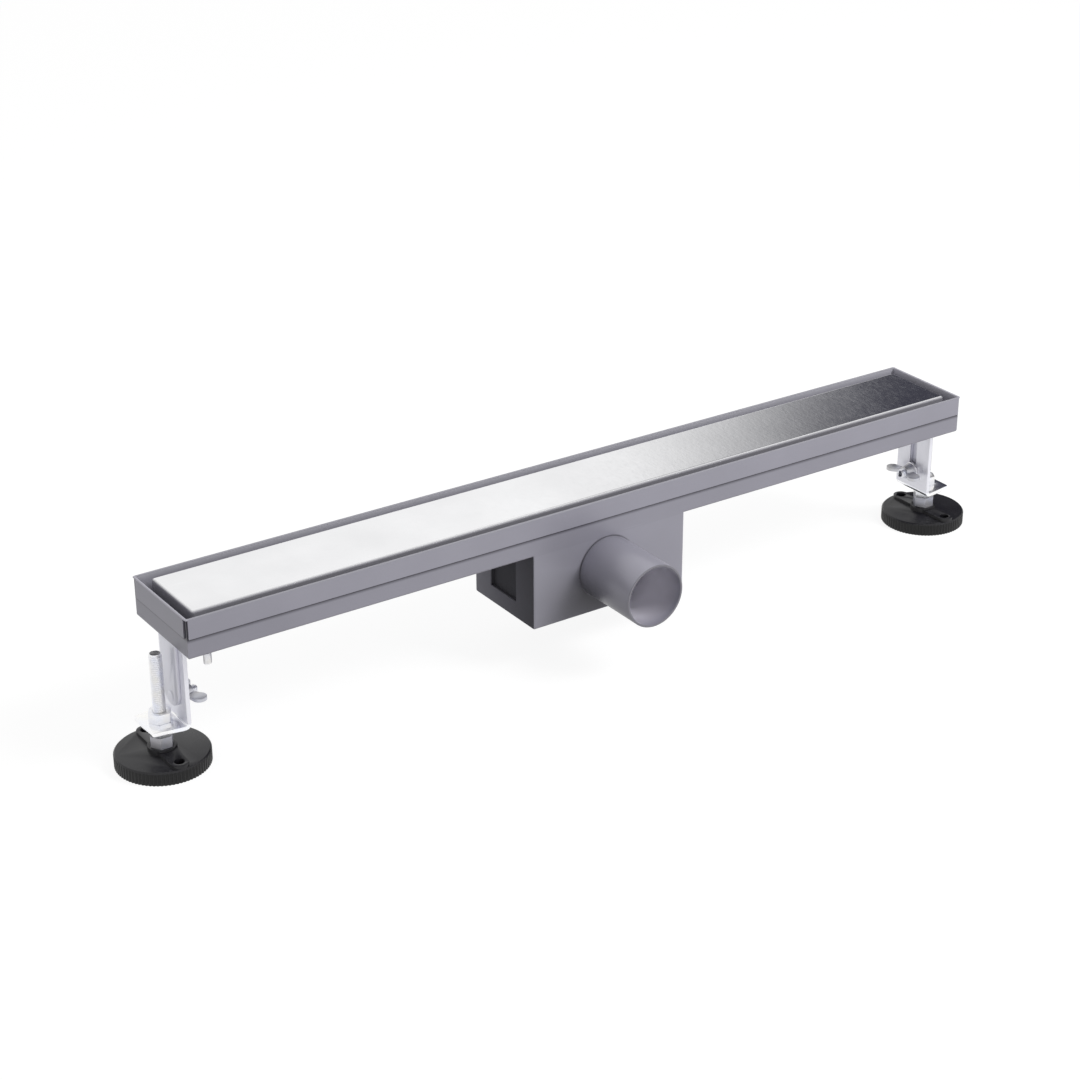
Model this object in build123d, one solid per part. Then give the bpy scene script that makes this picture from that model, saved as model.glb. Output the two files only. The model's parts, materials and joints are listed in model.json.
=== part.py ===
from build123d import *
import os

# Linear shower drain: a folded stainless channel with a hemmed rim and a drop-in cover plate,
# a welded trap box with its outlet pipe, a removable water-seal trap, and two adjustable legs.
# Frame: +Z up, X along the channel, the outlet pipe points to -Y. The origin lies under the
# middle of the channel, on the floor that the two foot discs stand on. Sizes in millimetres.

# Channel
channel_length = 600.0
channel_width = 70.0
channel_depth = 26.5
channel_sheet = 0.8
channel_bend = 1.6
hem_height = 13.3
hem_round = 0.7
hem_side_gap = 1.5
hem_end_gap = 3.5
hem_corner_land = 0.8
hem_corner_round = 1.2

# Cover plate and the strips that carry it
water_gap = 6.7
cover_drop = 0.3
cover_sheet = 1.0
cover_flange = 12.5
cover_bend = 1.8
rest_width = 18.0
rest_sheet = 1.0
rest_bend = 1.6
rest_side_clearance = 0.3
rest_wall_clearance = 0.3
rest_box_distance = 50.6
rest_end_distance = 41.7

# Trap box and outlet pipe
box_length = 118.8
box_depth = 51.5
box_sheet = 0.8
box_bend = 1.5
panel_front = 14.0
panel_back = 15.5
panel_height = 39.5
panel_recess = 3.0
pipe_diameter = 42.4
pipe_wall = 1.5
pipe_length = 52.2
pipe_offset = -2.5
pipe_drop = 21.6

# Water-seal trap
flange_side_clearance = 0.9
flange_overlap = 2.5
flange_thickness = 2.0
funnel_wall = 1.5
funnel_neck_height = 8.0
funnel_taper_height = 7.0
dip_tube_diameter = 32.0
dip_tube_end = 9.7
seal_thickness = 2.0
seal_ring = 2.6
seal_lip = 3.0
seal_clearance = 0.2
cup_clearance = 0.5
cup_wall = 1.5
cup_base = 2.0
cup_height = 33.7
cup_foot_height = 3.0
cup_foot_diameter = 6.0
cup_foot_count = 4
strainer_sheet = 0.8
strainer_depth = 5.0
strainer_lip = 3.0
strainer_clearance = 0.5
strainer_hole_diameter = 5.0
strainer_hole_pitch = 9.0
strainer_rings = 2
strainer_ring_holes = 6

# Feet
disc_diameter = 58.8
disc_thickness = 8.8
disc_bevel = 1.0
rib_count = 78
groove_radius = 0.7
groove_depth = 0.45
strap_width = 11.5
strap_rise = 2.0
strap_edge_margin = 0.8
collar_diameter = 18.0
collar_rise = 1.2
foot_screw_spacing = 45.6
foot_screw_hole = 6.5
core_depth = 5.0
core_wall = 2.5
core_hub = 12.0
core_web = 2.0
core_web_count = 3
core_strap_margin = 5.75
hex_across_flats = 13.0
hex_rise = 8.5
hex_seat_floor = 3.0
hex_clearance = 0.05
rod_diameter = 8.0
rod_length = 68.5
rod_chamfer = 0.8
rod_seat = 2.0
nut_height = 6.5
nut_chamfer = 0.5
thread_clearance = 0.05

# Legs
bracket_sheet = 2.7
bracket_bend = 1.0
bracket_width = 32.0
bracket_tip_width = 26.0
bracket_foot_reach = 21.35
bracket_corner = 2.0
bracket_taper_start = 3.0
leg_height = 55.8
leg_top_gap = 0.4
foot_offset = 10.15
rod_hole_clearance = 0.25
slot_width = 6.6
slot_travel = 29.0
hanger_setback = 2.5
hanger_sheet = 2.0
hanger_width = 20.0
hanger_length = 45.5
clamp_edge = 5.5
clamp_diameter = 6.0
clamp_reach = 16.7
clamp_clearance = 0.05
weld_clearance = 0.02
washer_diameter = 12.0
washer_bore = 6.4
washer_thickness = 1.6
wing_hub_base = 11.0
wing_hub_top = 8.5
wing_hub_height = 6.5
wing_thickness = 2.2
wing_lobe_radius = 4.5
wing_lobe_height = 7.0
wing_span = 31.0
wing_root_low = 1.0
wing_root_high = 5.5
wing_root_depth = 1.0

# Bonding stud
earth_diameter = 5.0
earth_length = 8.0
earth_end_distance = 14.7
earth_side_distance = 5.0
earth_round = 1.5

# Edges are picked by their place, to this distance
place_tolerance = 1e-3

# Heights, stacked from the floor up
strap_top = disc_thickness + strap_rise
hex_top = strap_top + hex_rise
plate_bottom = hex_top + nut_height
plate_top = plate_bottom + bracket_sheet
leg_top = plate_bottom + leg_height
channel_bottom = leg_top + leg_top_gap
floor_top = channel_bottom + channel_sheet
rim_top = channel_bottom + channel_depth
hem_bottom = rim_top - hem_height
cover_top = rim_top - cover_drop
cover_under = cover_top - cover_sheet
box_bottom = channel_bottom - box_depth
box_floor = box_bottom + box_sheet
pipe_height = channel_bottom - pipe_drop
clamp_height = channel_bottom - hanger_length + clamp_edge
flange_bottom = floor_top + seal_thickness
flange_top = flange_bottom + flange_thickness

# Plan sizes
wall_length = channel_length - 2 * channel_sheet
wall_width = channel_width - 2 * channel_sheet
inner_length = wall_length - 2 * channel_sheet
inner_width = wall_width - 2 * channel_sheet
cover_length = inner_length - 2 * water_gap
cover_width = inner_width - 2 * water_gap
hanger_outer = wall_length / 2 - hanger_setback
hanger_inner = hanger_outer - hanger_sheet
leg_outer = hanger_inner - clamp_clearance
leg_inner = leg_outer - bracket_sheet
washer_outer = leg_inner - clamp_clearance
washer_inner = washer_outer - washer_thickness
foot_x = leg_outer + foot_offset
inner_rest_x = box_length / 2 + rest_box_distance
outer_rest_x = cover_length / 2 - rest_end_distance

# Radii of the trap, from its flange on the channel floor inward
flange_radius = inner_width / 2 - flange_side_clearance
trap_hole = flange_radius - flange_overlap
seal_outer = trap_hole - seal_clearance
seal_inner = seal_outer - seal_ring
neck_outer = seal_inner - seal_clearance
neck_inner = neck_outer - funnel_wall
cup_outer = neck_outer - cup_clearance
tube_outer = dip_tube_diameter / 2
tube_inner = tube_outer - funnel_wall
strainer_outer = neck_inner - strainer_clearance


def block(x0, x1, y0, y1, z0, z1):
    """A box between two corners."""
    size = Box(x1 - x0, y1 - y0, z1 - z0)
    return Pos((x0 + x1) / 2, (y0 + y1) / 2, (z0 + z1) / 2) * size


def upright(length, width, z0, z1, radius=0.0):
    """A box centred on the channel, with rounded vertical edges if a radius is given."""
    plan = RectangleRounded(length, width, radius) if radius else Rectangle(length, width)
    return Pos(0, 0, z0) * extrude(plan, z1 - z0)


def turned(*points):
    """A ring or dish turned round the vertical axis, from its half section in radius and height."""
    return revolve(Plane.XZ * make_face(Polyline(*points, close=True)), Axis.Z)


def rod(radius, start, end):
    """A round bar along X."""
    return Pos(start, 0, 0) * Rot(0, 90, 0) * extrude(Circle(radius), end - start)


def hexagon(height):
    """A hexagonal bar with two of its flats facing along Y."""
    return extrude(RegularPolygon(hex_across_flats / 2, 6, major_radius=False), height)


def bottom_edges(solid, z):
    """The straight edges that lie at one height."""
    return [e for e in solid.edges() if abs(e.bounding_box().max.Z - z) < place_tolerance]


def make_channel():
    """The folded channel: hemmed rim, sharp welded corners and a round hole for the trap."""
    walls = upright(wall_length, wall_width, channel_bottom, rim_top - hem_height / 2)
    walls = fillet(bottom_edges(walls, channel_bottom), channel_bend)
    walls += upright(box_length, wall_width, channel_bottom, channel_bottom + channel_bend, box_bend)
    hem = upright(channel_length, channel_width, hem_bottom, rim_top, hem_corner_round)
    hem = fillet(hem.edges().group_by(Axis.Z)[-1], hem_round)
    hollow = upright(inner_length, inner_width, floor_top, rim_top)
    hollow = fillet(bottom_edges(hollow, floor_top), channel_bend - channel_sheet)
    channel = walls + hem - hollow
    rim_x = inner_length / 2 + place_tolerance
    rim_y = inner_width / 2 + place_tolerance
    inner_rim = [
        e for e in channel.edges().group_by(Axis.Z)[-1]
        if abs(e.center().X) <= rim_x and abs(e.center().Y) <= rim_y
    ]
    channel = fillet(inner_rim, hem_round)
    corner_core = upright(wall_length, wall_width, hem_bottom, rim_top)
    for sx in (-1, 1):
        for sy in (-1, 1):
            notch = Pos(sx * channel_length / 2, sy * channel_width / 2, hem_bottom) * extrude(
                Rectangle(2 * hem_side_gap, 2 * hem_end_gap), hem_height - hem_corner_land)
            channel -= notch - corner_core
    return channel - Pos(0, 0, channel_bottom) * extrude(Circle(trap_hole), channel_sheet)


def make_cover():
    """The cover plate: a sheet folded down along all four sides."""
    outer = upright(cover_length, cover_width, cover_top - cover_flange, cover_top, cover_bend)
    outer = fillet(outer.edges().group_by(Axis.Z)[-1], cover_bend)
    inside = upright(cover_length - 2 * cover_sheet, cover_width - 2 * cover_sheet,
                     cover_top - cover_flange, cover_under, cover_bend - cover_sheet)
    inside = fillet(inside.edges().group_by(Axis.Z)[-1], cover_bend - cover_sheet)
    return outer - inside


def make_cover_rest(x):
    """One strip under the cover: a web, two legs, and feet that reach to the channel's walls."""
    web_y = cover_width / 2 - cover_sheet - rest_side_clearance - rest_sheet / 2
    web_z = cover_under - rest_sheet / 2
    foot_y = inner_width / 2 - (channel_bend - channel_sheet) - rest_wall_clearance
    foot_z = floor_top + rest_sheet / 2
    path = FilletPolyline(
        (-foot_y, foot_z), (-web_y, foot_z), (-web_y, web_z),
        (web_y, web_z), (web_y, foot_z), (foot_y, foot_z),
        radius=rest_bend - rest_sheet / 2)
    strip = extrude(Plane.YZ * trace(path, rest_sheet), rest_width)
    return Pos(x - rest_width / 2, 0, 0) * strip


def make_trap_box():
    """The open-topped welded box: rounded bends and a recessed panel in each end."""
    outer = upright(box_length, wall_width, box_bottom, channel_bottom, box_bend)
    outer = fillet(outer.edges().group_by(Axis.Z)[0], box_bend)
    hollow = upright(box_length - 2 * box_sheet, wall_width - 2 * box_sheet,
                     box_floor, channel_bottom, box_bend - box_sheet)
    panel_bottom = channel_bottom - panel_height
    for s in (-1, 1):
        end = s * box_length / 2
        recess = block(end - panel_recess, end + panel_recess, -panel_front, panel_back,
                       panel_bottom, channel_bottom)
        pushed_in = block(end - panel_recess - box_sheet, end + panel_recess + box_sheet,
                          -panel_front - box_sheet, panel_back + box_sheet,
                          panel_bottom - box_sheet, channel_bottom)
        outer -= recess
        hollow -= pushed_in
    bore = Pos(pipe_offset, 0, pipe_height) * Rot(90, 0, 0) * extrude(
        Circle(pipe_diameter / 2 - pipe_wall), wall_width / 2)
    return outer - hollow - bore


def make_outlet_pipe():
    """The outlet stub, welded to the front of the box."""
    ring = Circle(pipe_diameter / 2) - Circle(pipe_diameter / 2 - pipe_wall)
    return Pos(pipe_offset, -wall_width / 2, pipe_height) * Rot(90, 0, 0) * extrude(ring, pipe_length)


def make_trap_funnel():
    """The funnel: a flange on the channel floor, a neck through it, and the dip tube."""
    neck_end = flange_bottom - funnel_neck_height
    taper_end = neck_end - funnel_taper_height
    tube_end = box_floor + cup_foot_height + cup_base + dip_tube_end
    return turned(
        (neck_inner, flange_top), (flange_radius, flange_top), (flange_radius, flange_bottom),
        (neck_outer, flange_bottom), (neck_outer, neck_end),
        (tube_outer, taper_end), (tube_outer, tube_end), (tube_inner, tube_end),
        (tube_inner, taper_end + funnel_wall), (neck_inner, neck_end + funnel_wall))


def make_trap_seal():
    """The rubber ring: flat under the funnel's flange, with a lip inside the channel's hole."""
    lip_end = floor_top - seal_lip
    return turned(
        (seal_inner, flange_bottom), (flange_radius, flange_bottom), (flange_radius, floor_top),
        (seal_outer, floor_top), (seal_outer, lip_end), (seal_inner, lip_end))


def make_trap_cup():
    """The water-seal cup: its edge stands above the outlet's lowest point, on four short feet."""
    base = box_floor + cup_foot_height
    cup_inner = cup_outer - cup_wall
    cup = turned(
        (0, base), (cup_outer, base), (cup_outer, base + cup_height), (cup_inner, base + cup_height),
        (cup_inner, base + cup_base), (0, base + cup_base))
    feet = Sketch() + PolarLocations(cup_outer - cup_foot_diameter, cup_foot_count) * Circle(
        cup_foot_diameter / 2)
    return cup + Pos(0, 0, box_floor) * extrude(feet, cup_foot_height)


def make_hair_strainer():
    """The perforated dish that hangs by its lip on the funnel's flange."""
    bottom = flange_top - strainer_depth
    top = flange_top + strainer_sheet
    lip_radius = strainer_outer + strainer_lip
    strainer_inner = strainer_outer - strainer_sheet
    dish = turned(
        (0, bottom), (strainer_outer, bottom), (strainer_outer, flange_top), (lip_radius, flange_top),
        (lip_radius, top), (strainer_inner, top),
        (strainer_inner, bottom + strainer_sheet), (0, bottom + strainer_sheet))
    hole = Circle(strainer_hole_diameter / 2)
    holes = Sketch() + hole
    for ring in range(1, strainer_rings + 1):
        holes += PolarLocations(ring * strainer_hole_pitch, ring * strainer_ring_holes) * hole
    return dish - Pos(0, 0, bottom) * extrude(holes, strainer_sheet)


def make_hanger_strap():
    """The strap welded under the channel floor, with a rounded end and the clamp stud's hole."""
    end = channel_bottom - hanger_length
    radius = hanger_width / 2
    face = Pos(0, (channel_bottom + end + radius) / 2) * Rectangle(hanger_width, hanger_length - radius)
    face += Pos(0, end + radius) * Circle(radius)
    face -= Pos(0, clamp_height) * Circle(clamp_diameter / 2 + weld_clearance)
    return Pos(hanger_inner, 0, 0) * extrude(Plane.YZ * face, hanger_sheet)


def make_clamp_stud():
    """The threaded stud set in the strap, pointing inward under the channel."""
    return Pos(0, 0, clamp_height) * rod(clamp_diameter / 2, hanger_outer - clamp_reach, hanger_outer)


def make_clamp_washer():
    """The flat washer between leg and wing nut."""
    washer = rod(washer_diameter / 2, washer_inner, washer_outer)
    return Pos(0, 0, clamp_height) * (washer - rod(washer_bore / 2, washer_inner, washer_outer))


def make_wing_nut():
    """The wing nut: a tapered hub and two rounded blades that lean away from the leg."""
    hub_end = washer_inner - wing_hub_height
    hub = Pos(hub_end, 0, 0) * Rot(0, 90, 0) * extrude(
        Circle(wing_hub_base / 2), wing_hub_height)
    cone = Pos(washer_inner, 0, 0) * Rot(0, -90, 0) * Cone(
        wing_hub_base / 2, wing_hub_top / 2, wing_hub_height, align=(Align.CENTER, Align.CENTER, Align.MIN))
    nut = hub & cone
    lobe_y = wing_span / 2 - wing_lobe_radius
    root_x = washer_inner - (wing_root_low + wing_root_high) / 2
    for s in (-1, 1):
        root = Pos(root_x, s * clamp_diameter / 2) * Rectangle(
            wing_root_high - wing_root_low, wing_root_depth)
        lobe = Pos(washer_inner - wing_lobe_height, s * lobe_y) * Circle(wing_lobe_radius)
        blade = make_hull(root.edges() + lobe.edges())
        nut += Pos(0, 0, -wing_thickness / 2) * extrude(blade, wing_thickness)
    nut -= rod(clamp_diameter / 2 + thread_clearance, hub_end, washer_inner)
    return Pos(0, 0, clamp_height) * nut


def make_leg_bracket():
    """The slotted L bracket: leg against the strap, tapered foot plate with the stud's hole."""
    middle = leg_inner + bracket_sheet / 2
    tip = leg_outer + bracket_foot_reach
    plate_middle = plate_bottom + bracket_sheet / 2
    path = FilletPolyline(
        (middle, leg_top), (middle, plate_middle), (tip, plate_middle),
        radius=bracket_bend + bracket_sheet / 2)
    angle = Pos(0, bracket_width / 2, 0) * extrude(Plane.XZ * trace(path, bracket_sheet), bracket_width)
    half = bracket_width / 2
    tip_half = bracket_tip_width / 2
    bend = leg_outer + bracket_taper_start
    outline = make_face(Polyline(
        (leg_inner, -half), (bend, -half), (tip, -tip_half),
        (tip, tip_half), (bend, half), (leg_inner, half), close=True))
    outline = fillet(outline.vertices().group_by(Axis.X)[-1], bracket_corner)
    bracket = angle & Pos(0, 0, plate_bottom) * extrude(outline, leg_height)
    slot = Pos(0, clamp_height + slot_travel / 2) * Rot(0, 0, 90) * SlotCenterToCenter(slot_travel, slot_width)
    bracket -= Pos(leg_inner, 0, 0) * extrude(Plane.YZ * slot, bracket_sheet)
    hole = Circle(rod_diameter / 2 + rod_hole_clearance)
    return bracket - Pos(foot_x, 0, plate_bottom) * extrude(hole, bracket_sheet)


def make_nut(z):
    """One hexagon nut round the foot's stud, chamfered above and below."""
    corner = RegularPolygon(hex_across_flats / 2, 6, major_radius=False).bounding_box().max.X
    blank = Pos(0, 0, nut_height / 2) * Cylinder(corner, nut_height)
    blank = chamfer(blank.edges().filter_by(GeomType.CIRCLE), nut_chamfer)
    bore = extrude(Circle(rod_diameter / 2 + thread_clearance), nut_height)
    return Pos(foot_x, 0, z) * ((hexagon(nut_height) & blank) - bore)


def make_foot_stud():
    """The threaded rod, screwed into the foot's hexagon and standing up past the bracket."""
    bottom = hex_seat_floor + rod_seat
    bar = Pos(0, 0, bottom + rod_length / 2) * Cylinder(rod_diameter / 2, rod_length)
    bar = chamfer(bar.edges().filter_by(GeomType.CIRCLE), rod_chamfer)
    return Pos(foot_x, 0, 0) * bar


def make_foot_hex():
    """The hexagonal base, moulded into the disc, with a blind threaded hole."""
    bar = hexagon(hex_top - hex_seat_floor)
    bore = Pos(0, 0, rod_seat) * extrude(
        Circle(rod_diameter / 2 + thread_clearance), hex_top - hex_seat_floor - rod_seat)
    return Pos(foot_x, 0, hex_seat_floor) * (bar - bore)


def make_foot_disc():
    """The moulded disc: gripping ribs round its edge, a raised strap with two screw holes,
    a collar round the hexagon, and a cored underside."""
    radius = disc_diameter / 2
    grooves = PolarLocations(radius + groove_radius - groove_depth, rib_count) * Circle(groove_radius)
    disc = extrude(Circle(radius) - grooves, disc_thickness)
    blank = Pos(0, 0, disc_thickness / 2) * Cylinder(radius, disc_thickness)
    disc &= chamfer(blank.edges().group_by(Axis.Z)[-1], disc_bevel)
    strap = SlotOverall(disc_diameter - 2 * strap_edge_margin, strap_width)
    disc += Pos(0, 0, disc_thickness / 2) * extrude(Rot(0, 0, 90) * strap, strap_top - disc_thickness / 2)
    disc += extrude(Circle(collar_diameter / 2), strap_top + collar_rise)
    seat = RegularPolygon(hex_across_flats / 2 + hex_clearance, 6, major_radius=False)
    disc -= Pos(0, 0, hex_seat_floor) * extrude(seat, strap_top + collar_rise)
    screws = Sketch() + GridLocations(0, foot_screw_spacing, 1, 2) * Circle(foot_screw_hole / 2)
    disc -= extrude(screws, strap_top)
    pocket_ring = Circle(radius - groove_depth - core_wall) - Circle(core_hub)
    for i in range(core_web_count):
        pocket_ring -= Rot(0, 0, i * 180 / core_web_count) * Rectangle(disc_diameter, core_web)
    pocket_ring -= Rectangle(strap_width + 2 * core_strap_margin, disc_diameter)
    disc -= extrude(pocket_ring, core_depth)
    return Pos(foot_x, 0, 0) * disc


def make_earth_stud():
    """The small stud for the bonding wire, welded under the left end."""
    x = -(channel_length / 2 - earth_end_distance)
    y = -(channel_width / 2 - earth_side_distance)
    stud = Pos(0, 0, -earth_length / 2) * Cylinder(earth_diameter / 2, earth_length)
    stud = fillet(stud.edges().group_by(Axis.Z)[0], earth_round)
    return Pos(x, y, channel_bottom) * stud


def save(name, solid):
    """Writes one piece to its own file."""
    export_step(solid, f"parts/{name}.step")


def save_pair(name, solid):
    """Writes the right-hand piece and its mirror image at the left end."""
    save(f"right_{name}", solid)
    save(f"left_{name}", mirror(solid, about=Plane.YZ))


os.makedirs("parts", exist_ok=True)

save("channel_body", make_channel())
save("cover_plate", make_cover())
rest_places = (-outer_rest_x, -inner_rest_x, inner_rest_x, outer_rest_x)
for number, place in enumerate(rest_places, start=1):
    save(f"cover_rest_{number}", make_cover_rest(place))

save("trap_box", make_trap_box())
save("outlet_pipe", make_outlet_pipe())
save("trap_funnel", make_trap_funnel())
save("trap_seal", make_trap_seal())
save("trap_cup", make_trap_cup())
save("hair_strainer", make_hair_strainer())
save("earth_stud", make_earth_stud())

save_pair("hanger_strap", make_hanger_strap())
save_pair("clamp_stud", make_clamp_stud())
save_pair("clamp_washer", make_clamp_washer())
save_pair("wing_nut", make_wing_nut())
save_pair("leg_bracket", make_leg_bracket())
save_pair("upper_nut", make_nut(plate_top))
save_pair("lower_nut", make_nut(hex_top))
save_pair("foot_stud", make_foot_stud())
save_pair("foot_hex", make_foot_hex())
save_pair("foot_disc", make_foot_disc())
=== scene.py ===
import bpy
import json
import math
from mathutils import Matrix, Vector

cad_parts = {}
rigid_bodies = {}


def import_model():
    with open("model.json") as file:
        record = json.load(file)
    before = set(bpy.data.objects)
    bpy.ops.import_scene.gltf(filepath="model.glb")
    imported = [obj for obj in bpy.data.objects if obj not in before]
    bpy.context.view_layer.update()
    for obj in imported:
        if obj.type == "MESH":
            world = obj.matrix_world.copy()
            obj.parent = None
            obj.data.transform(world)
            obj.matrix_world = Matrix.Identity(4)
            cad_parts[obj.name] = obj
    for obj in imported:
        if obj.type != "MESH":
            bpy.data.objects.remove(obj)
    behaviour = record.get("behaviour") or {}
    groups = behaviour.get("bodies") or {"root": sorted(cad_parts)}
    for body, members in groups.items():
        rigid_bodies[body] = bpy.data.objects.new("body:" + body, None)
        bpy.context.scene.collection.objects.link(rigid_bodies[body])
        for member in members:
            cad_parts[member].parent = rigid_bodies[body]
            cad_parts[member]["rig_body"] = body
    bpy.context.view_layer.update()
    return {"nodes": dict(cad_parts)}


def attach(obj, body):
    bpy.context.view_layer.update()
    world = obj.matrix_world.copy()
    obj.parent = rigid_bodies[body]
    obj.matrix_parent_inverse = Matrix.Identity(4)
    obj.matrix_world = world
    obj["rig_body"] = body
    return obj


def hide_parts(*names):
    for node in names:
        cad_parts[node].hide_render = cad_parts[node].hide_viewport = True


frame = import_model()
nodes = frame["nodes"]


# The camera stands in front of the left end, about 1.5 m away and 25 degrees above the rim, and
# it leans by a sixth of a degree. Its lens is a long one.
camera_place = Vector((-0.8148, -1.1577, 0.7395))
camera_azimuth = math.radians(-34.09)
camera_elevation = math.radians(25.48)
camera_roll = math.radians(0.16)

back = Vector((
    math.sin(camera_azimuth) * math.cos(camera_elevation),
    -math.cos(camera_azimuth) * math.cos(camera_elevation),
    math.sin(camera_elevation)))
right = Vector((math.cos(camera_azimuth), math.sin(camera_azimuth), 0))
up = back.cross(right)
across = math.cos(camera_roll) * right - math.sin(camera_roll) * up
upward = math.sin(camera_roll) * right + math.cos(camera_roll) * up
camera_data = bpy.data.cameras.new("camera")
camera_data.lens = 80
camera_data.sensor_width = 36
camera_data.clip_end = 50
camera = bpy.data.objects.new("camera", camera_data)
bpy.context.scene.collection.objects.link(camera)
camera.matrix_world = Matrix.Translation(camera_place) @ Matrix((across, upward, back)).transposed().to_4x4()
bpy.context.scene.camera = camera
bpy.context.scene.view_settings.view_transform = "Standard"


# The floor is a plain white sheet under the two discs. The camera and bare metal see white paper
# with the object's pale shadow on it, and the rest of the object is lit by it softly.
def link(tree, source, target):
    """Joins an output socket to an input socket."""
    tree.links.new(source, target)


def new_material(name):
    """A material with an empty node tree and its output."""
    material = bpy.data.materials.new(name)
    material.use_nodes = True
    material.node_tree.nodes.clear()
    output = material.node_tree.nodes.new("ShaderNodeOutputMaterial")
    return material, material.node_tree, output


def calculate(tree, operation, first, second):
    """One Math node; either side is a socket or a plain number."""
    node = tree.nodes.new("ShaderNodeMath")
    node.operation = operation
    for socket, value in zip(node.inputs, (first, second)):
        if isinstance(value, (int, float)):
            socket.default_value = value
        elif value is not None:
            link(tree, value, socket)
    return node.outputs[0]


floor_size = 12
floor_glow = 0.88
floor_paint = 0.20
floor_bounce = 0.25

bpy.ops.object.select_all(action="DESELECT")
bpy.ops.mesh.primitive_plane_add(size=floor_size, location=(0, 0, 0))
floor = bpy.context.object
floor.name = "floor"
floor_material, tree, output = new_material("white_floor")
light_path = tree.nodes.new("ShaderNodeLightPath")
glow = tree.nodes.new("ShaderNodeEmission")
glow.inputs["Strength"].default_value = floor_glow
paint = tree.nodes.new("ShaderNodeBsdfDiffuse")
paint.inputs["Color"].default_value = (floor_paint, floor_paint, floor_paint, 1)
paper = tree.nodes.new("ShaderNodeAddShader")
link(tree, glow.outputs[0], paper.inputs[0])
link(tree, paint.outputs[0], paper.inputs[1])
bounce = tree.nodes.new("ShaderNodeBsdfDiffuse")
bounce.inputs["Color"].default_value = (floor_bounce, floor_bounce, floor_bounce, 1)
seen = calculate(tree, "MAXIMUM", light_path.outputs["Is Camera Ray"], light_path.outputs["Is Glossy Ray"])
choice = tree.nodes.new("ShaderNodeMixShader")
link(tree, seen, choice.inputs[0])
link(tree, bounce.outputs[0], choice.inputs[1])
link(tree, paper.outputs[0], choice.inputs[2])
link(tree, choice.outputs[0], output.inputs["Surface"])
floor.data.materials.append(floor_material)


# The room is white all round, with one low dark stretch behind the right end: the plain steel
# cover mirrors it, so it fades from white to nearly black along its last third.
def times(tree, first, second):
    """The product of two masks, or of a mask and a number."""
    return calculate(tree, "MULTIPLY", first, second)


def ramp(tree, source, start, end, low, high, curve="LINEAR"):
    """A ramp from one value to another along a source."""
    step = tree.nodes.new("ShaderNodeMapRange")
    step.interpolation_type = curve
    step.inputs["From Min"].default_value = start
    step.inputs["From Max"].default_value = end
    step.inputs["To Min"].default_value = low
    step.inputs["To Max"].default_value = high
    link(tree, source, step.inputs["Value"])
    return step.outputs["Result"]


def blend_colors(tree, factor, first, second):
    """A colour that goes from the first to the second with a mask."""
    mix = tree.nodes.new("ShaderNodeMix")
    mix.data_type = "RGBA"
    for socket, value in ((mix.inputs[6], first), (mix.inputs[7], second)):
        if isinstance(value, tuple):
            socket.default_value = (*value, 1)
        else:
            link(tree, value, socket)
    link(tree, factor, mix.inputs["Factor"])
    return mix.outputs[2]


room_light = 0.50
room_white = (1, 1, 1)
room_dark = (0.052, 0.052, 0.070)
dark_from = math.radians(35.3)
dark_full = math.radians(43.4)
dark_to = math.radians(75)
dark_end = math.radians(95)
dark_low = math.sin(math.radians(33))
dark_high = math.sin(math.radians(48))

world = bpy.data.worlds.new("room")
bpy.context.scene.world = world
world.use_nodes = True
tree = world.node_tree
tree.nodes.clear()
output = tree.nodes.new("ShaderNodeOutputWorld")
direction = tree.nodes.new("ShaderNodeTexCoord")
parts = tree.nodes.new("ShaderNodeSeparateXYZ")
link(tree, direction.outputs["Generated"], parts.inputs[0])
turn = calculate(tree, "ARCTAN2", parts.outputs["X"], parts.outputs["Y"])
near_side = ramp(tree, turn, dark_from, dark_full, 0, 1, curve="SMOOTHSTEP")
far_side = ramp(tree, turn, dark_to, dark_end, 1, 0, curve="SMOOTHSTEP")
low_part = ramp(tree, parts.outputs["Z"], dark_low, dark_high, 1, 0, curve="SMOOTHSTEP")
dark_stretch = times(tree, times(tree, near_side, far_side), low_part)
light_path = tree.nodes.new("ShaderNodeLightPath")
ambient = tree.nodes.new("ShaderNodeBackground")
ambient.inputs["Color"].default_value = (*room_white, 1)
ambient.inputs["Strength"].default_value = room_light
mirrored = tree.nodes.new("ShaderNodeBackground")
link(tree, blend_colors(tree, dark_stretch, room_white, room_dark), mirrored.inputs["Color"])
plain = tree.nodes.new("ShaderNodeBackground")
plain.inputs["Color"].default_value = (*room_white, 1)
first = tree.nodes.new("ShaderNodeMixShader")
link(tree, light_path.outputs["Is Glossy Ray"], first.inputs[0])
link(tree, ambient.outputs[0], first.inputs[1])
link(tree, mirrored.outputs[0], first.inputs[2])
second = tree.nodes.new("ShaderNodeMixShader")
link(tree, light_path.outputs["Is Camera Ray"], second.inputs[0])
link(tree, first.outputs[0], second.inputs[1])
link(tree, plain.outputs[0], second.inputs[2])
link(tree, second.outputs[0], output.inputs["Surface"])

lamp_width = 0.8
lamp_height = 0.6
lamp_power = 20
lamp_place = Vector((0.9, -1.1, 1.4))
lamp_target = Vector((0, 0, 0.05))

lamp_data = bpy.data.lights.new("soft_box", "AREA")
lamp_data.shape = "RECTANGLE"
lamp_data.size = lamp_width
lamp_data.size_y = lamp_height
lamp_data.energy = lamp_power
lamp = bpy.data.objects.new("soft_box", lamp_data)
bpy.context.scene.collection.objects.link(lamp)
lamp.visible_glossy = False
lamp.location = lamp_place
lamp.rotation_euler = (lamp_target - lamp_place).to_track_quat("-Z", "Y").to_euler()


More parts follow.
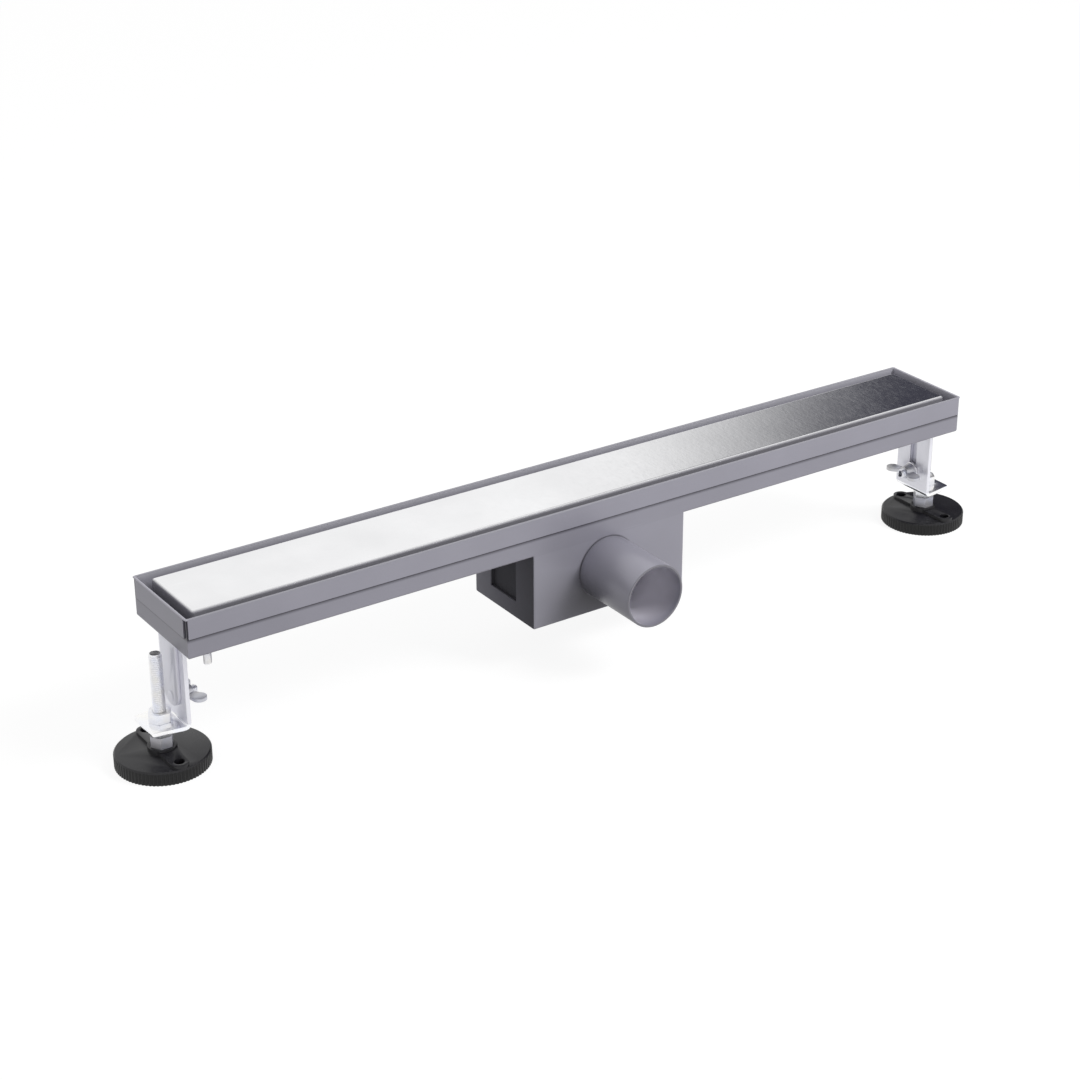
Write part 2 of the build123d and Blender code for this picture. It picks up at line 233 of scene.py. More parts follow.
# The channel is one folded sheet of stainless steel with a satin mill finish, its walls hemmed outward at the
# rim. Painted shade lies as a dark line under the hem, over the walls below it, on the end faces and in the
# corner notches, and the rim's top is painted a little darker; the rim's ends and the inner walls towards the
# rim are painted lighter as painted light.
def new_group(name, inputs, outputs):
    """A node group with named number inputs and outputs, and its two end nodes."""
    group = bpy.data.node_groups.new(name, "ShaderNodeTree")
    for socket, value in inputs.items():
        item = group.interface.new_socket(socket, in_out="INPUT", socket_type="NodeSocketFloat")
        item.default_value = value
    for socket in outputs:
        group.interface.new_socket(socket, in_out="OUTPUT", socket_type="NodeSocketFloat")
    return group, group.nodes.new("NodeGroupInput"), group.nodes.new("NodeGroupOutput")


def noise(tree, vector, scale, detail, roughness=0.5):
    """A noise texture read at a vector, as one value from 0 to 1."""
    texture = tree.nodes.new("ShaderNodeTexNoise")
    texture.inputs["Scale"].default_value = scale
    texture.inputs["Detail"].default_value = detail
    texture.inputs["Roughness"].default_value = roughness
    link(tree, vector, texture.inputs["Vector"])
    return texture.outputs["Fac"]


rolled_grain, start, end = new_group(
    "rolled_grain", {"Along": 300.0, "Across": 4000.0}, ("Grain", "Cloud", "Scratch"))
place = rolled_grain.nodes.new("ShaderNodeTexCoord")
stretch = rolled_grain.nodes.new("ShaderNodeCombineXYZ")
link(rolled_grain, start.outputs["Along"], stretch.inputs["X"])
link(rolled_grain, start.outputs["Across"], stretch.inputs["Y"])
link(rolled_grain, start.outputs["Across"], stretch.inputs["Z"])
lines = rolled_grain.nodes.new("ShaderNodeVectorMath")
lines.operation = "MULTIPLY"
link(rolled_grain, place.outputs["Object"], lines.inputs[0])
link(rolled_grain, stretch.outputs[0], lines.inputs[1])
link(rolled_grain, noise(rolled_grain, lines.outputs[0], 1.0, 3, 0.6), end.inputs["Grain"])
link(rolled_grain, noise(rolled_grain, place.outputs["Object"], 14.0, 3), end.inputs["Cloud"])
tilt = rolled_grain.nodes.new("ShaderNodeMapping")
tilt.inputs["Rotation"].default_value = (0.1, 0.3, 0.5)
tilt.inputs["Scale"].default_value = (30, 1500, 1500)
link(rolled_grain, place.outputs["Object"], tilt.inputs["Vector"])
hair_lines = noise(rolled_grain, tilt.outputs[0], 1.0, 1)
link(rolled_grain, ramp(rolled_grain, hair_lines, 0.74, 0.80, 0, 1), end.inputs["Scratch"])

edge_play = 0.04
under_edge, start, end = new_group(
    "under_edge", {"Height": 0.0, "Edge": 0.0, "Reach": 0.001}, ("Mask",))
drop = calculate(under_edge, "SUBTRACT", start.outputs["Edge"], start.outputs["Height"])
share = calculate(under_edge, "DIVIDE", drop, start.outputs["Reach"])
below = calculate(under_edge, "GREATER_THAN", share, -edge_play)
link(under_edge, times(under_edge, below, ramp(under_edge, share, 0, 1, 1, 0)), end.inputs["Mask"])


def wire(tree, shader, output, color, roughness, height, depth):
    """Feeds a shader its colour, roughness and bump, and joins it to the material's output."""
    link(tree, color, shader.inputs["Base Color"])
    link(tree, roughness, shader.inputs["Roughness"])
    bump = tree.nodes.new("ShaderNodeBump")
    bump.inputs["Strength"].default_value = 1
    bump.inputs["Distance"].default_value = depth
    link(tree, height, bump.inputs["Height"])
    link(tree, bump.outputs[0], shader.inputs["Normal"])
    link(tree, shader.outputs[0], output.inputs["Surface"])


def sheet_steel(name, color, metallic, roughness, along, across, depth):
    """Stainless sheet: grain along the rolling direction, soft clouds and hairline scratches."""
    material, tree, output = new_material(name)
    shader = tree.nodes.new("ShaderNodeBsdfPrincipled")
    shader.inputs["Metallic"].default_value = metallic
    grain = tree.nodes.new("ShaderNodeGroup")
    grain.node_tree = rolled_grain
    grain.inputs["Along"].default_value = along
    grain.inputs["Across"].default_value = across
    light = tuple(min(1, 1.05 * value) for value in color)
    dark = tuple(0.93 * value for value in color)
    tone = blend_colors(tree, ramp(tree, grain.outputs["Cloud"], 0.3, 0.7, 0, 1), dark, light)
    tone = blend_colors(tree, grain.outputs["Scratch"], tone, light)
    rough = calculate(tree, "ADD", ramp(tree, grain.outputs["Grain"], 0.3, 0.7, -0.05, 0.05),
                      ramp(tree, grain.outputs["Cloud"], 0.3, 0.7, roughness - 0.03, roughness + 0.03))
    wire(tree, shader, output, tone, rough, grain.outputs["Grain"], depth)
    return material


def tint(material, mask, color):
    """Lays a colour over a material's own where a mask says so."""
    tree = material.node_tree
    target = tree.nodes["Principled BSDF"].inputs["Base Color"]
    below = target.links[0].from_socket
    link(tree, blend_colors(tree, mask, below, color), target)


def change(material, socket, mask, value):
    """Takes one of a shader's numbers to a value where a mask says so."""
    tree = material.node_tree
    target = tree.nodes["Principled BSDF"].inputs[socket]
    mix = tree.nodes.new("ShaderNodeMix")
    mix.inputs["A"].default_value = target.default_value
    if target.links:
        link(tree, target.links[0].from_socket, mix.inputs["A"])
    mix.inputs["B"].default_value = value
    link(tree, mask, mix.inputs["Factor"])
    link(tree, mix.outputs["Result"], target)


def within(tree, source, low, high):
    """A mask that is 1 where a source lies between two values."""
    return times(tree, calculate(tree, "GREATER_THAN", source, low),
                 calculate(tree, "LESS_THAN", source, high))


def finish_node(node, material):
    """Gives a solid its material."""
    nodes[node].data.materials.clear()
    nodes[node].data.materials.append(material)


def object_axes(tree):
    """The three Object coordinates of a material."""
    place = tree.nodes.new("ShaderNodeTexCoord")
    parts = tree.nodes.new("ShaderNodeSeparateXYZ")
    link(tree, place.outputs["Object"], parts.inputs[0])
    return parts.outputs


def painted_shade_below(tree, height, edge, reach):
    """The mask of a line of painted shade under an edge at one height."""
    line = tree.nodes.new("ShaderNodeGroup")
    line.node_tree = under_edge
    line.inputs["Edge"].default_value = edge
    line.inputs["Reach"].default_value = reach
    link(tree, height, line.inputs["Height"])
    return line.outputs["Mask"]


steel_color = (0.410, 0.401, 0.466)
inner_painted_light = (0.60, 0.595, 0.65)
rim_painted_shade = (0.37, 0.365, 0.41)
rim_end_painted_light = (0.50, 0.49, 0.555)
steel_painted_shade = (0.040, 0.038, 0.052)
steel_metallic = 0.2
steel_roughness = 0.38
steel_along = 260
steel_across = 3200
steel_depth = 0.00001
inner_low = 0.1045
inner_high = 0.1075
inner_low_share = 0.35
inner_metallic = 0.1
hem_edge = 0.0952
hem_line = 0.0030
hem_shade = 0.10
hem_half_length = 0.29925
hem_half_width = 0.03425
wall_half_length = 0.2988
wall_half_width = 0.0338
notch_end = 0.2970
notch_side = 0.0313
rim_top = 0.1078
rim_end = 0.2984
end_face = 0.29915
end_shade = 0.24

channel_steel = sheet_steel("channel_steel", steel_color, steel_metallic, steel_roughness,
                            steel_along, steel_across, steel_depth)
tree = channel_steel.node_tree
x, y, z = object_axes(tree)
far_x = calculate(tree, "ABSOLUTE", x, None)
far_y = calculate(tree, "ABSOLUTE", y, None)
outside = calculate(tree, "MAXIMUM", calculate(tree, "GREATER_THAN", far_x, wall_half_length),
                    calculate(tree, "GREATER_THAN", far_y, wall_half_width))
inner = times(tree, calculate(tree, "SUBTRACT", 1, outside), calculate(tree, "GREATER_THAN", z, hem_edge))
# Painted light: the inner walls are lighter towards the rim, where light falls into the channel.
tint(channel_steel, times(tree, inner, ramp(tree, z, inner_low, inner_high, inner_low_share, 1)),
     inner_painted_light)
on_rim = calculate(tree, "GREATER_THAN", z, rim_top)
# Painted shade: the rim's top is a little darker than the walls.
tint(channel_steel, on_rim, rim_painted_shade)
# Painted shade: a dark line under the hem, the walls below it, the end faces and the corner notches.
line = painted_shade_below(tree, z, hem_edge, hem_line)
shade = times(tree, calculate(tree, "LESS_THAN", z, hem_edge), hem_shade)
ends = times(tree, calculate(tree, "GREATER_THAN", far_x, end_face), end_shade)
notch = times(tree, within(tree, far_x, notch_end, hem_half_length),
              within(tree, far_y, notch_side, hem_half_width))
notch = times(tree, notch, within(tree, z, hem_edge, rim_top))
dark = calculate(tree, "MAXIMUM", line, calculate(tree, "ADD", shade, ends))
dark = calculate(tree, "MAXIMUM", dark, notch)
tint(channel_steel, times(tree, dark, outside), steel_painted_shade)
# Painted light: the rim's ends are lighter.
tint(channel_steel, times(tree, on_rim, calculate(tree, "GREATER_THAN", far_x, rim_end)), rim_end_painted_light)
change(channel_steel, "Metallic", inner, inner_metallic)
finish_node("channel_body", channel_steel)


# The cover is a plate of the same steel, ground along its length to a fine bright grain that sparkles where
# it mirrors the edge of the dark. Its folded edges and sides are painted darker as shade, which also narrows
# the highlight on the fold. It drops onto four folded strips.
cover_color = (0.885, 0.885, 0.895)
cover_side_painted_shade = (0.34, 0.335, 0.365)
cover_side_metallic = 0.3
cover_roughness = 0.12
cover_along = 450
cover_across = 200
cover_depth = 0.00003
cover_bend = 0.1074
cover_face = 0.1082
rest_color = (0.55, 0.55, 0.58)

cover_steel = sheet_steel("cover_steel", cover_color, 1.0, cover_roughness,
                          cover_along, cover_across, cover_depth)
tree = cover_steel.node_tree
x, y, z = object_axes(tree)
# Painted shade: the fold and sides below the top face are darker.
side = ramp(tree, z, cover_bend, cover_face, 1, 0)
tint(cover_steel, side, cover_side_painted_shade)
change(cover_steel, "Metallic", side, cover_side_metallic)
finish_node("cover_plate", cover_steel)
rest_steel = sheet_steel("rest_steel", rest_color, 0.9, 0.3, steel_along, steel_across, steel_depth)
for number in range(1, 5):
    finish_node(f"cover_rest_{number}", rest_steel)


# The trap box is welded from the same sheet under the channel. On its front a narrow dark ring round the
# outlet's root is partly the weld seam and partly painted reflection, and a painted shadow of the outlet
# falls below and left of it. Each end is painted darker as shade, most towards its front; the panel pressed
# into each end and a line under the channel are painted darker still as shade, and these painted places are
# made matt.
box_color = (0.390, 0.382, 0.443)
box_roughness = 0.42
box_top = 0.0820
box_line = 0.0040
box_line_share = 0.15
box_end = 0.0590
end_front = -0.034
end_back = 0.034
end_painted_shade = (0.053, 0.052, 0.060)
shade_front = 0.88
shade_back = 0.42
shade_roughness = 0.95
panel_shade = (0.078, 0.077, 0.088)
panel_face = 0.0588
panel_floor = 0.0560
panel_front = -0.0142
panel_back = 0.0157
panel_low = 0.0423
pipe_x = -0.0025
pipe_z = 0.0604
pipe_radius = 0.0212
painted_shadow_color = (0.030, 0.029, 0.034)
shadow_reach = 0.074
shadow_share = 0.90
shadow_away = (0.5, 0.87)
shadow_full = -0.95
shadow_none = -0.3
seam_width = 0.0012
seam_and_dark_reflection = (0.15, 0.147, 0.168)

box_steel = sheet_steel("box_steel", box_color, steel_metallic, box_roughness,
                        steel_along, steel_across, steel_depth)
tree = box_steel.node_tree
x, y, z = object_axes(tree)
across_x = calculate(tree, "SUBTRACT", x, pipe_x)
across_z = calculate(tree, "SUBTRACT", z, pipe_z)
square = calculate(tree, "ADD", calculate(tree, "POWER", across_x, 2), calculate(tree, "POWER", across_z, 2))
reach = calculate(tree, "SQRT", square, None)
away = calculate(tree, "ADD", times(tree, across_x, shadow_away[0]), times(tree, across_z, shadow_away[1]))
# Painted shadow of the outlet, below and to the left of it on the box front.
painted_shadow = times(tree, ramp(tree, reach, pipe_radius, shadow_reach, shadow_share, 0),
             ramp(tree, calculate(tree, "DIVIDE", away, reach), shadow_full, shadow_none, 1, 0))
front = calculate(tree, "LESS_THAN", y, end_front)
tint(box_steel, times(tree, painted_shadow, front), painted_shadow_color)
# A narrow dark ring round the outlet's root: partly the weld seam, partly painted dark reflection.
weld = ramp(tree, reach, pipe_radius, pipe_radius + seam_width, 1, 0)
tint(box_steel, times(tree, front, weld), seam_and_dark_reflection)
far_x = calculate(tree, "ABSOLUTE", x, None)
on_end = calculate(tree, "GREATER_THAN", far_x, box_end)
# Painted shade: each end is darker, most towards its front, and the pressed panel and a line under the
# channel are darker still.
shaded_end = times(tree, on_end, ramp(tree, y, end_front, end_back, shade_front, shade_back))
tint(box_steel, shaded_end, end_painted_shade)
panel = times(tree, within(tree, far_x, panel_floor, panel_face), within(tree, y, panel_front, panel_back))
panel = times(tree, panel, calculate(tree, "GREATER_THAN", z, panel_low))
line = times(tree, painted_shade_below(tree, z, box_top, box_line), times(tree, on_end, box_line_share))
tint(box_steel, calculate(tree, "MAXIMUM", panel, line), panel_shade)
# The painted shade on the ends is made matt.
painted_shade_matt = calculate(tree, "MAXIMUM", panel, shaded_end)
change(box_steel, "Roughness", painted_shade_matt, shade_roughness)
change(box_steel, "Metallic", painted_shade_matt, 0)
finish_node("trap_box", box_steel)


# The outlet is a length of thin stainless tube, sawn square, deburred and welded to the front of the box; the
# narrow dark ring at its root is partly the weld seam and partly painted reflection. Its underside is painted
# darker as shade and its lip face darker still, and its bore is painted light in its depth and on one side
# and painted shade by the lip.
def eased_copy(node, width, segments=2):
    """A copy of a solid whose sharp edges are eased as they are on the real piece. It takes the
    place of the solid and moves with it."""
    sharp = math.radians(30)
    piece = bpy.data.objects.new(node + "_eased", nodes[node].data.copy())
    bpy.context.scene.collection.objects.link(piece)
    bpy.ops.object.select_all(action="DESELECT")
    piece.select_set(True)
    bpy.context.view_layer.objects.active = piece
    bpy.ops.mesh.customdata_custom_splitnormals_clear()
    bpy.ops.object.mode_set(mode="EDIT")
    bpy.ops.mesh.select_all(action="SELECT")
    bpy.ops.mesh.remove_doubles(threshold=1e-6)
    bpy.ops.mesh.dissolve_limited(angle_limit=math.radians(0.5))
    bpy.ops.object.mode_set(mode="OBJECT")
    easing = piece.modifiers.new("eased_edges", "BEVEL")
    easing.width = width
    easing.segments = segments
    easing.limit_method = "ANGLE"
    easing.angle_limit = sharp
    bpy.ops.object.modifier_apply(modifier=easing.name)
    bpy.ops.object.shade_smooth_by_angle(angle=sharp)
    piece.data.materials.clear()
    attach(piece, nodes[node]["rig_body"])
    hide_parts(node)
    return piece


pipe_easing = 0.00025
pipe_bore = 0.01975
pipe_front = -0.0864
pipe_root = -0.0342
pipe_lip = 0.0004
pipe_color = (0.395, 0.387, 0.45)
shade_color = (0.12, 0.117, 0.133)
shade_low = 0.0392
shade_high = 0.07312
shade_share = 0.85
lip_painted_shade = (0.25, 0.245, 0.28)
bore_painted_shade = (0.27, 0.262, 0.32)
bore_painted_light = (0.95, 0.93, 1)
inside_reach = 0.030
inside_lit = -0.4 * pipe_bore
inside_unlit = 0.6 * pipe_bore
inside_metallic = 0.05

pipe = eased_copy("outlet_pipe", pipe_easing)
pipe_steel = sheet_steel("pipe_steel", pipe_color, steel_metallic, steel_roughness,
                         steel_along, steel_across, steel_depth)
tree = pipe_steel.node_tree
x, y, z = object_axes(tree)
across_x = calculate(tree, "SUBTRACT", x, pipe_x)
across_z = calculate(tree, "SUBTRACT", z, pipe_z)
square = calculate(tree, "ADD", calculate(tree, "POWER", across_x, 2), calculate(tree, "POWER", across_z, 2))
inside = calculate(tree, "LESS_THAN", square, pipe_bore ** 2)
# Painted shade: the underside of the tube is darker.
tint(pipe_steel, ramp(tree, z, shade_low, shade_high, shade_share, 0), shade_color)
# The dark ring at the root: partly the weld seam, partly painted dark reflection.
tint(pipe_steel, ramp(tree, y, pipe_root - seam_width, pipe_root, 0, 1), seam_and_dark_reflection)
# Painted shade on the lip face.
tint(pipe_steel, calculate(tree, "LESS_THAN", y, pipe_front + pipe_lip), lip_painted_shade)
# Painted light deep in the bore and on its lit side, painted shade near the lip.
deep = ramp(tree, y, pipe_front, pipe_front + inside_reach, 0, 1)
lit = ramp(tree, calculate(tree, "SUBTRACT", across_x, across_z), inside_lit, inside_unlit, 1, 0)
bore = blend_colors(tree, calculate(tree, "MAXIMUM", deep, lit), bore_painted_shade, bore_painted_light)
tint(pipe_steel, inside, bore)
change(pipe_steel, "Metallic", inside, inside_metallic)
pipe.data.materials.append(pipe_steel)


# The trap is moulded in pale grey plastic: a funnel with its dip tube hangs in the hole, and the
# cup under it keeps the water. Both have the faint matt skin of a spark-eroded mould.
moulded_skin, start, end = new_group("moulded_skin", {"Texture": 3000.0, "Flow": 45.0}, ("Fine", "Slow"))
place = moulded_skin.nodes.new("ShaderNodeTexCoord")
for source, target in (("Texture", "Fine"), ("Flow", "Slow")):
    value = noise(moulded_skin, place.outputs["Object"], 1.0, 2)
    link(moulded_skin, start.outputs[source], value.node.inputs["Scale"])
    link(moulded_skin, value, end.inputs[target])


def moulded_plastic(name, color, roughness, texture, depth, shine=0.3):
    """Moulded plastic: a fine matt texture, and slow changes of gloss where it flowed."""
    material, tree, output = new_material(name)
    shader = tree.nodes.new("ShaderNodeBsdfPrincipled")
    shader.inputs["Specular IOR Level"].default_value = shine
    skin = tree.nodes.new("ShaderNodeGroup")
    skin.node_tree = moulded_skin
    skin.inputs["Texture"].default_value = texture
    fine, flow = skin.outputs["Fine"], skin.outputs["Slow"]
    light = tuple(min(1, 1.12 * value + 0.001) for value in color)
    dark = tuple(0.88 * value for value in color)
    tone = blend_colors(tree, ramp(tree, flow, 0.3, 0.7, 0, 1), dark, light)
    rough = calculate(tree, "ADD", ramp(tree, fine, 0.3, 0.7, -0.05, 0.05),
                      ramp(tree, flow, 0.3, 0.7, roughness - 0.04, roughness + 0.04))
    wire(tree, shader, output, tone, rough, fine, depth)
    return material


trap_easing = 0.0003
trap_plastic = moulded_plastic("trap_plastic", color=(0.60, 0.61, 0.62), roughness=0.45,
                               texture=5000.0, depth=0.00001)
for node in ("trap_funnel", "trap_cup"):
    piece = eased_copy(node, trap_easing)
    piece.data.materials.append(trap_plastic)


# The seal is a soft black rubber ring between the funnel's flange and the channel's floor, with
# a faint bloom on its skin.
seal_rubber = moulded_plastic("seal_rubber", color=(0.028, 0.028, 0.03), roughness=0.62,
                              texture=2500.0, depth=0.00002)
finish_node("trap_seal", seal_rubber)


# The strainer is a dish pressed from thin bright steel, with punched holes. It catches hair above
# the funnel and lifts out for cleaning.
strainer_easing = 0.00012
strainer = eased_copy("hair_strainer", strainer_easing)
strainer_steel = sheet_steel("strainer_steel", color=(0.62, 0.62, 0.64), metallic=1.0, roughness=0.24,
                             along=900, across=900, depth=steel_depth)
strainer.data.materials.append(strainer_steel)


# Two straps of sheared steel sheet are welded under the ends of the channel and hang down outside
# the legs. Their ends are rounded, and their edges are slightly turned by the shear.
strap_easing = 0.0002
strap_face = 0.2967
weld_radius = 0.0036
weld_rise = 0.0002
weld_height = 0.042
strap_steel = sheet_steel("strap_steel", color=(0.86, 0.86, 0.93), metallic=0.4, roughness=0.36,
                          along=steel_across, across=steel_across, depth=steel_depth)
for side, sign in (("left", -1), ("right", 1)):
    strap = eased_copy(f"{side}_hanger_strap", strap_easing)
    strap.data.materials.append(strap_steel)
    bpy.ops.object.select_all(action="DESELECT")
    bpy.ops.mesh.primitive_cylinder_add(vertices=48, radius=weld_radius, depth=2 * weld_rise)
    weld = bpy.context.object
    weld.name = f"{side}_stud_weld"
    weld.data.transform(Matrix.Translation((sign * strap_face, 0, weld_height))
                        @ Matrix.Rotation(math.radians(90), 4, "Y"))
    dressing = weld.modifiers.new("dressed_edge", "BEVEL")
    dressing.width = 0.9 * weld_rise
    dressing.segments = 2
    bpy.ops.object.modifier_apply(modifier=dressing.name)
    bpy.ops.object.shade_smooth_by_angle(angle=math.radians(40))
    weld.data.materials.append(strap_steel)
    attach(weld, nodes[f"{side}_hanger_strap"]["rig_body"])


# The legs, nuts, studs and washers are zinc plated steel: bright, nearly white, with slow clouds
# in the plating and fine rubbing marks.
plated_skin, start, end = new_group(
    "plated_skin", {"Clouds": 60.0, "Spots": 1400.0}, ("Slow", "Dull", "Rubbed"))
place = plated_skin.nodes.new("ShaderNodeTexCoord")
for source, target in (("Clouds", "Slow"), ("Spots", "Dull")):
    value = noise(plated_skin, place.outputs["Object"], 1.0, 3)
    link(plated_skin, start.outputs[source], value.node.inputs["Scale"])
    link(plated_skin, value, end.inputs[target])
marks = plated_skin.nodes.new("ShaderNodeMapping")
marks.inputs["Rotation"].default_value = (0.4, 0.2, 0.7)
marks.inputs["Scale"].default_value = (250, 5000, 5000)
link(plated_skin, place.outputs["Object"], marks.inputs["Vector"])
link(plated_skin, noise(plated_skin, marks.outputs[0], 1.0, 2), end.inputs["Rubbed"])


def zinc_plating(name, color, metallic, roughness, clouds):
    """Bright zinc plating with cool and warm clouds, small dull spots and rubbing marks."""
    rubbing_depth = 0.0000015
    material, tree, output = new_material(name)
    shader = tree.nodes.new("ShaderNodeBsdfPrincipled")
    shader.inputs["Metallic"].default_value = metallic
    skin = tree.nodes.new("ShaderNodeGroup")
    skin.node_tree = plated_skin
    skin.inputs["Clouds"].default_value = clouds
    slow, spots, rubbed = (skin.outputs[mask] for mask in ("Slow", "Dull", "Rubbed"))
    cool = (0.96 * color[0], 0.98 * color[1], min(1, 1.03 * color[2]))
    warm = (min(1, 1.03 * color[0]), min(1, 1.02 * color[1]), 0.98 * color[2])
    tone = blend_colors(tree, ramp(tree, slow, 0.35, 0.65, 0, 1), cool, warm)
    dull = tuple(0.82 * value for value in color)
    tone = blend_colors(tree, ramp(tree, spots, 0.62, 0.78, 0, 0.35), tone, dull)
    rough = calculate(tree, "ADD", ramp(tree, rubbed, 0.35, 0.65, -0.04, 0.05),
                      ramp(tree, slow, 0.3, 0.7, roughness - 0.03, roughness + 0.05))
    wire(tree, shader, output, tone, rough, rubbed, rubbing_depth)
    return material


bracket_easing = 0.0003
upright_color = (0.93, 0.93, 0.99)
upright_metallic = 0.6
upright_roughness = 0.40
upright_low = 0.0287
upright_high = 0.0297
bracket_zinc = zinc_plating("bracket_zinc", color=(0.95, 0.95, 0.965), metallic=1.0, roughness=0.20,
                            clouds=60.0)
tree = bracket_zinc.node_tree
x, y, z = object_axes(tree)
upright = ramp(tree, z, upright_low, upright_high, 0, 1)
tint(bracket_zinc, upright, upright_color)
change(bracket_zinc, "Metallic", upright, upright_metallic)
change(bracket_zinc, "Roughness", upright, upright_roughness)
for side in ("left", "right"):
    bracket = eased_copy(f"{side}_leg_bracket", bracket_easing)
    bracket.data.materials.append(bracket_zinc)


# Each leg is clamped by a 6 mm threaded stud in the strap, a flat washer, and a wing nut with two
# drop-forged wings that lean away from the leg.
def threaded_bar(name, radius, pitch, low, high):
    """A threaded bar that stands on the origin's axis: the outline of one thread is drawn by
    extruding a point, wound up, cut to length and pointed at its ends."""
    steps_a_turn = 32
    pilot = 0.4 * pitch
    thread_depth = 0.61 * pitch
    flat = pitch / 8
    flank = pitch * 5 / 16
    core = radius - thread_depth
    turns = math.ceil((high - low) / pitch) + 2
    bpy.ops.object.select_all(action="DESELECT")
    bpy.ops.mesh.primitive_plane_add(size=pitch, location=(0, 0, 0))
    bar = bpy.context.object
    bar.name = name
    bpy.ops.object.mode_set(mode="EDIT")
    bpy.ops.mesh.select_all(action="SELECT")
    bpy.ops.mesh.merge(type="CENTER")
    bpy.ops.transform.translate(value=(core, 0, low - pitch))
    for outward, rise in ((0, flat), (thread_depth, flank), (0, flat), (-thread_depth, flank), (0, flat)):
        bpy.ops.mesh.extrude_region_move(TRANSFORM_OT_translate={"value": (outward, 0, rise)})
    bpy.ops.object.mode_set(mode="OBJECT")
    wind = bar.modifiers.new("thread", "SCREW")
    wind.axis = "Z"
    wind.angle = 2 * math.pi
    wind.screw_offset = pitch
    wind.iterations = turns
    wind.steps = steps_a_turn
    wind.render_steps = steps_a_turn
    bpy.ops.object.modifier_apply(modifier=wind.name)
    bpy.ops.object.mode_set(mode="EDIT")
    bpy.ops.mesh.select_all(action="SELECT")
    bpy.ops.mesh.remove_doubles(threshold=2e-6)
    bpy.ops.mesh.bisect(plane_co=(0, 0, low), plane_no=(0, 0, 1), use_fill=True, clear_inner=True)
    bpy.ops.mesh.select_all(action="SELECT")
    bpy.ops.mesh.bisect(plane_co=(0, 0, high), plane_no=(0, 0, 1), use_fill=True, clear_outer=True)
    for height in (low + pilot, low + pilot + thread_depth, high - pilot - thread_depth, high - pilot):
        bpy.ops.mesh.select_all(action="SELECT")
        bpy.ops.mesh.bisect(plane_co=(0, 0, height), plane_no=(0, 0, 1))
    bpy.ops.mesh.select_all(action="SELECT")
    bpy.ops.mesh.normals_make_consistent(inside=False)
    bpy.ops.object.mode_set(mode="OBJECT")
    for vertex in bar.data.vertices:
        reach = math.hypot(vertex.co.x, vertex.co.y)
        widest = core + max(0, min(vertex.co.z - low, high - vertex.co.z) - pilot)
        if reach > widest:
            vertex.co.x *= widest / reach
            vertex.co.y *= widest / reach
    bpy.ops.object.shade_smooth_by_angle(angle=math.radians(35))
    bar.data.materials.clear()
    return bar


def placed_copy(pattern, name, matrix, node):
    """A copy of a piece in its own place; it takes the place of a solid and moves with it."""
    copy = bpy.data.objects.new(name, pattern.data.copy())
    bpy.context.scene.collection.objects.link(copy)
    copy.data.transform(matrix)
    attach(copy, nodes[node]["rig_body"])
    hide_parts(node)
    return copy


clamp_radius = 0.003
clamp_pitch = 0.001
clamp_low = 0.2800
clamp_high = 0.2967
clamp_height = 0.042
washer_easing = 0.0002
wing_easing = 0.0007

screw_zinc = zinc_plating("screw_zinc", color=(0.92, 0.92, 0.945), metallic=0.85, roughness=0.30, clouds=90.0)
wing_zinc = zinc_plating("wing_zinc", color=(0.62, 0.62, 0.65), metallic=0.75, roughness=0.34, clouds=120.0)
stud = threaded_bar("stud_pattern", clamp_radius, clamp_pitch, clamp_low, clamp_high)
lay_down = Matrix.Translation((0, 0, clamp_height)) @ Matrix.Rotation(math.radians(90), 4, "Y")
for side, turned in (("left", 180), ("right", 0)):
    matrix = Matrix.Rotation(math.radians(turned), 4, "Z") @ lay_down
    clamp = placed_copy(stud, f"{side}_clamp_thread", matrix, f"{side}_clamp_stud")
    clamp.data.materials.append(screw_zinc)
    washer = eased_copy(f"{side}_clamp_washer", washer_easing)
    washer.data.materials.append(screw_zinc)
    wing = eased_copy(f"{side}_wing_nut", wing_easing, segments=3)
    wing.data.materials.append(wing_zinc)
bpy.data.objects.remove(stud)


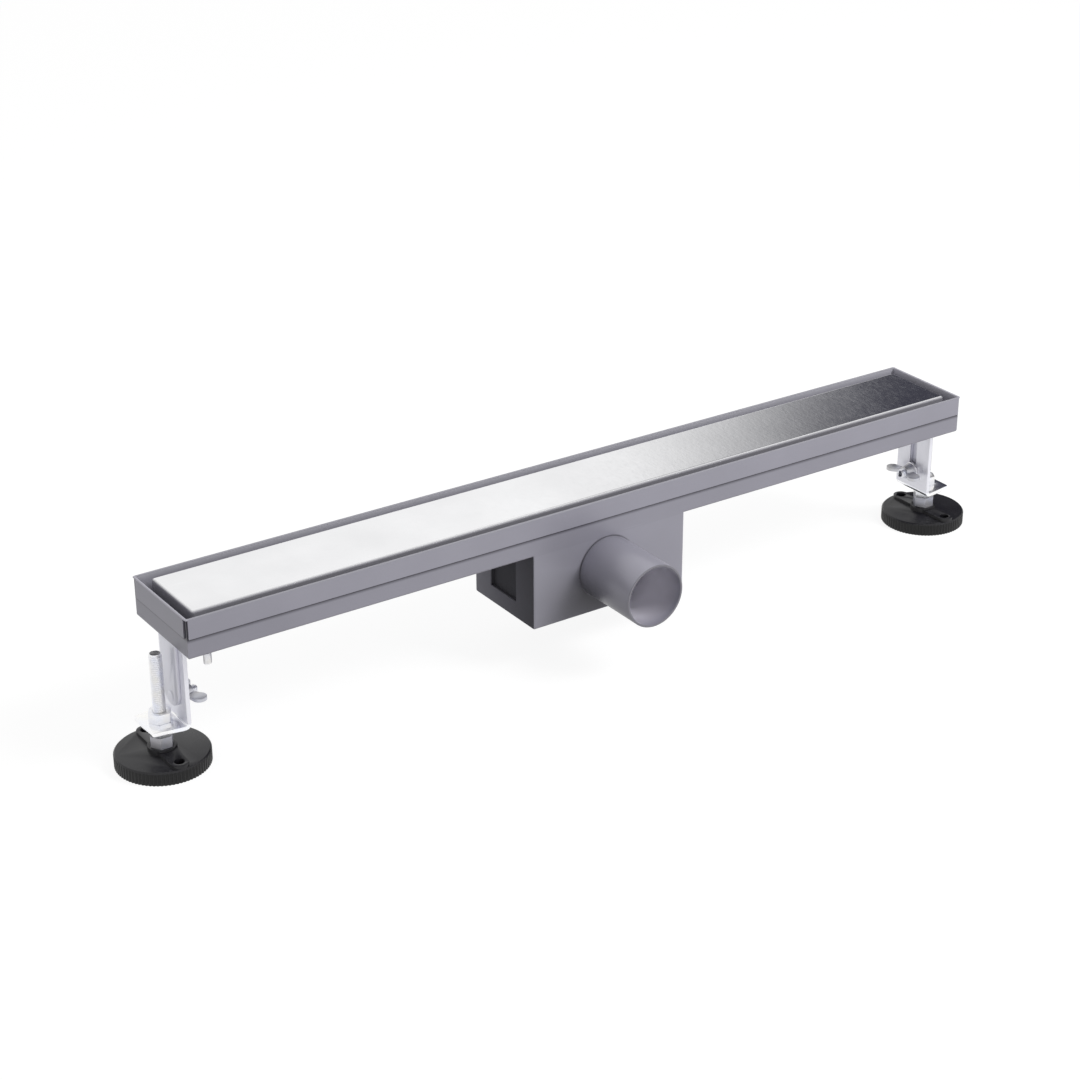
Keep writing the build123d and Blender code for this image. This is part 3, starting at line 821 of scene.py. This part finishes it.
# Each foot stands on an 8 mm threaded rod. Two hexagon nuts grip the bracket's plate, and the
# rod's lower end is screwed into a hexagonal base.
rod_radius = 0.004
rod_pitch = 0.00125
rod_low = 0.0050
rod_high = 0.0735
foot_x = 0.3048
nut_easing = 0.00025

base_zinc = zinc_plating("base_zinc", color=(0.50, 0.50, 0.55), metallic=0.6, roughness=0.34, clouds=140.0)
rod_pattern = threaded_bar("rod_pattern", rod_radius, rod_pitch, rod_low, rod_high)
for side, sign in (("left", -1), ("right", 1)):
    rod = placed_copy(rod_pattern, f"{side}_foot_thread", Matrix.Translation((sign * foot_x, 0, 0)),
                      f"{side}_foot_stud")
    rod.data.materials.append(screw_zinc)
    for name, plating in (("upper_nut", screw_zinc), ("lower_nut", screw_zinc), ("foot_hex", base_zinc)):
        nut = eased_copy(f"{side}_{name}", nut_easing)
        nut.data.materials.append(plating)
bpy.data.objects.remove(rod_pattern)


# The discs are moulded in glass-filled black plastic round the hexagonal base, with gripping ribs
# round the edge and a raised strap for the two floor screws.
disc_easing = 0.00015
disc_face = 0.0077
disc_side_painted_shade = (0.0014, 0.0013, 0.0018)
disc_side_roughness = 0.5
disc_plastic = moulded_plastic("disc_plastic", color=(0.0085, 0.008, 0.0105), roughness=0.32,
                               texture=3000.0, depth=0.000003, shine=0.42)
tree = disc_plastic.node_tree
x, y, z = object_axes(tree)
# Painted shade: the ribbed side of each disc is darker than its top.
ribbed = calculate(tree, "LESS_THAN", z, disc_face)
tint(disc_plastic, ribbed, disc_side_painted_shade)
change(disc_plastic, "Roughness", ribbed, disc_side_roughness)
for side in ("left", "right"):
    disc = eased_copy(f"{side}_foot_disc", disc_easing)
    disc.data.materials.append(disc_plastic)


# The bonding stud is a small zinc plated pin, threaded to its end and welded under the left end of
# the channel. The earth wire is fastened to it.
earth_radius = 0.0025
earth_pitch = 0.0008
earth_low = 0.0740
earth_high = 0.0820
earth_place = (-0.2853, -0.0300, 0)
pin = threaded_bar("pin_pattern", earth_radius, earth_pitch, earth_low, earth_high)
earth = placed_copy(pin, "earth_thread", Matrix.Translation(earth_place), "earth_stud")
earth.data.materials.append(screw_zinc)
bpy.data.objects.remove(pin)
